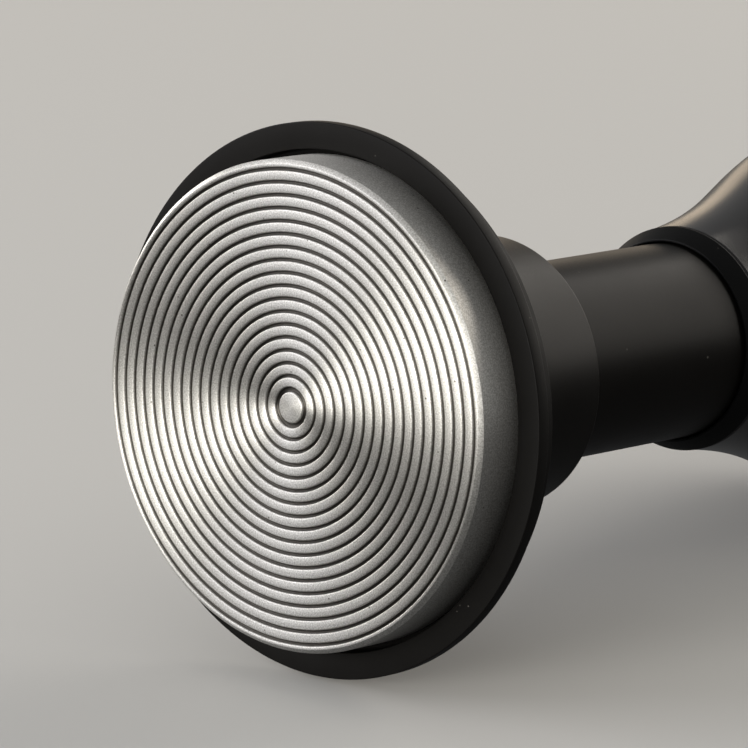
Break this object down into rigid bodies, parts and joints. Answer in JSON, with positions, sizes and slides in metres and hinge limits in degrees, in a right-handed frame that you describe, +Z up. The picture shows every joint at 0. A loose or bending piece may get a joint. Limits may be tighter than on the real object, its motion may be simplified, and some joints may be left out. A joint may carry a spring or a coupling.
{
  "type": "espresso tamper",
  "caption": "Spring-loaded espresso tamper: rippled steel base, free-turning levelling flange on a sprung collar, slim black neck and a flared grip, lying on its side.",
  "frame": {"origin": "on the surface that the tamper lies on, under the middle of its bounding box", "axes": "+Z is up. The tamper lies on the rim of its flange and the widest rim of its grip, as in the picture. Its own axis runs from the tamping face at the -X end to the grip at the +X end and dips 4.53 degrees towards the grip, along (0.996871, 0, -0.079049). +Y is across it."},
  "size_m": [0.1246, 0.0662, 0.0661],
  "materials": {
    "turned_steel": "stainless steel, turned and lightly polished in rings",
    "plain_steel": "plain machined steel",
    "spring_steel": "bright drawn spring wire",
    "matte_black": "fine-blasted black anodised aluminium",
    "satin_black": "satin black anodised aluminium",
    "gloss_black": "polished black anodised aluminium",
    "black_acetal": "turned black acetal",
    "bronze": "oiled bearing bronze",
    "rubber": "black nitrile rubber"
  },
  "bodies": {
    "handle": {"handle_grip": "gloss_black", "handle_cap": "gloss_black", "cap_ring": "rubber", "preload_plug": "plain_steel", "preload_lock_ring": "plain_steel", "mouth_bush": "black_acetal", "main_spring": "spring_steel"},
    "press_washer": {"main_spring_washer": "bronze"},
    "neck": {"neck_tube": "satin_black", "neck_top_ring": "spring_steel", "neck_collar_ring": "spring_steel", "return_spring_seat": "plain_steel", "return_spring": "spring_steel", "base_stud": "plain_steel", "base_washer": "plain_steel", "tamping_base": "turned_steel"},
    "return_washer": {"sleeve_washer": "plain_steel"},
    "sleeve": {"levelling_flange": "matte_black", "guide_collar": "satin_black", "collar_bush": "bronze", "collar_bush_ring": "spring_steel", "flange_screw_1": "plain_steel", "flange_screw_2": "plain_steel", "flange_screw_3": "plain_steel", "flange_screw_4": "plain_steel"}
  },
  "joints": [
    {"name": "press_slide", "type": "slide", "parent": "handle", "child": "press_washer", "axis": [0.9969, 0, -0.079], "range_m": [0, 0.0045], "stiffness_N_per_m": 11200, "springref_m": -0.0054, "deforming": ["main_spring"]},
    {"name": "neck_spin", "type": "hinge", "parent": "press_washer", "child": "neck", "pos_m": [-0.00025, 0, 0.02882], "axis": [0.9969, 0, -0.079], "continuous": true},
    {"name": "sleeve_slide", "type": "slide", "parent": "neck", "child": "return_washer", "axis": [0.9969, 0, -0.079], "range_m": [0, 0.011], "stiffness_N_per_m": 310, "springref_m": -0.012, "deforming": ["return_spring"]},
    {"name": "sleeve_spin", "type": "hinge", "parent": "return_washer", "child": "sleeve", "pos_m": [-0.00025, 0, 0.02882], "axis": [0.9969, 0, -0.079], "continuous": true}
  ]
}
